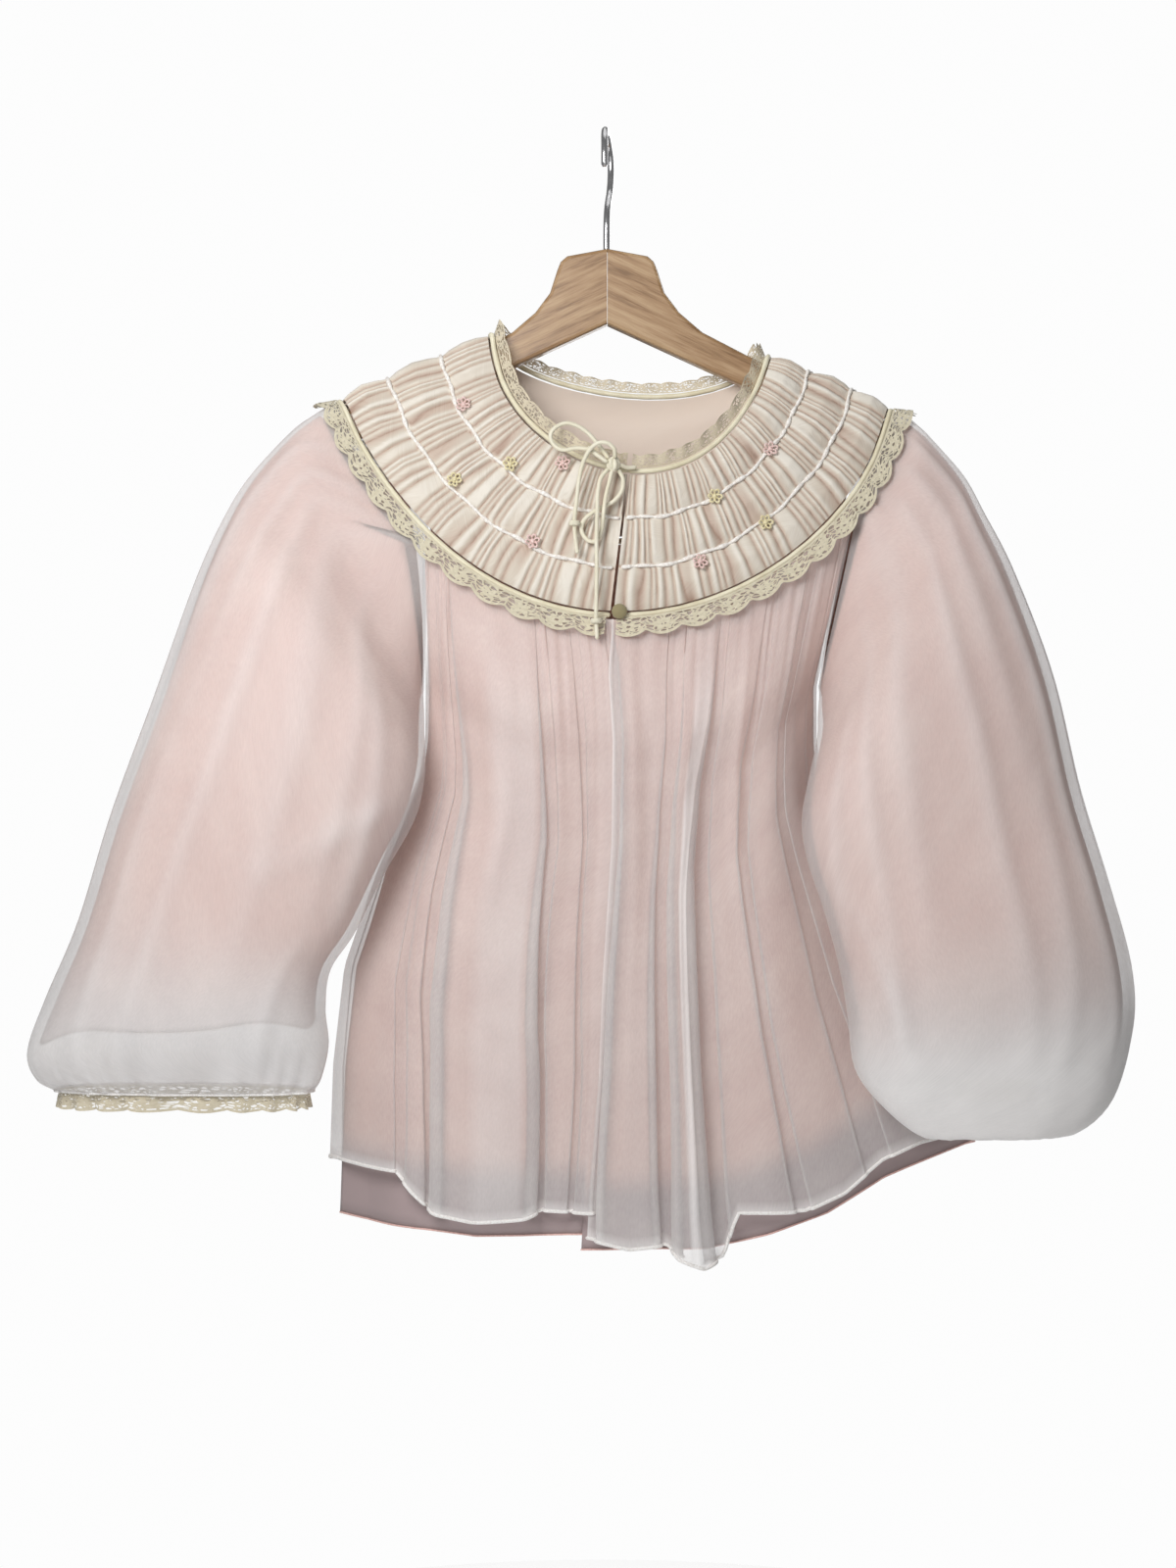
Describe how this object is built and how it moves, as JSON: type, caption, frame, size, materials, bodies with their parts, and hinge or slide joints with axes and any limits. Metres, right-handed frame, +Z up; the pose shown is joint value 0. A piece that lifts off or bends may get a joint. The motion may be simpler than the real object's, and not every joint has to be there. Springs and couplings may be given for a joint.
{
  "type": "babydoll top on a hanger",
  "caption": "Sheer babydoll top with a round shirred yoke, open front, full sleeves with lace cuffs and a cord bow, over a blush lining, on a wooden hanger.",
  "frame": {"origin": "inside top of the hanger's hook, where it hangs on a rail", "axes": "+X to the right as seen from the front, +Y to the back, +Z up; the front opening looks along -Y"},
  "size_m": [0.6534, 0.1534, 0.6858],
  "materials": {
    "chiffon": "sheer",
    "lining": "smooth, slight sheen",
    "lace": "matte net",
    "piping": "satin",
    "pink": "embroidery",
    "yellow": "embroidery",
    "button": "covered button",
    "wood": "clear varnish",
    "steel": "polished"
  },
  "bodies": {
    "root": {"back": "chiffon", "bead_long": "piping", "bead_short": "piping", "bow_knot": "piping", "bow_lead_left": "piping", "bow_lead_right": "piping", "bow_loop_lower": "piping", "bow_loop_upper": "piping", "bow_tail_long": "piping", "bow_tail_short": "piping", "button": "button", "cuff_lace_left": "lace", "cuff_lace_right": "lace", "flower_1": "pink", "flower_2": "yellow", "flower_3": "yellow", "flower_4": "pink", "flower_5": "yellow", "flower_6": "pink", "flower_7": "pink", "flower_8": "yellow", "flower_9": "pink", "front_left": "chiffon", "front_right": "chiffon", "hanger_arm_left": "wood", "hanger_arm_right": "wood", "hanger_hook": "steel", "lining_back": "lining", "lining_front_left": "lining", "lining_front_right": "lining", "lining_sleeve_left": "lining", "lining_sleeve_right": "lining", "neck_lace": "lace", "neck_piping": "piping", "sleeve_left": "chiffon", "sleeve_right": "chiffon", "yoke_back": "chiffon", "yoke_front_left": "chiffon", "yoke_front_right": "chiffon", "yoke_lace": "lace", "yoke_lining": "lining", "yoke_piping": "piping"}
  },
  "joints": []
}
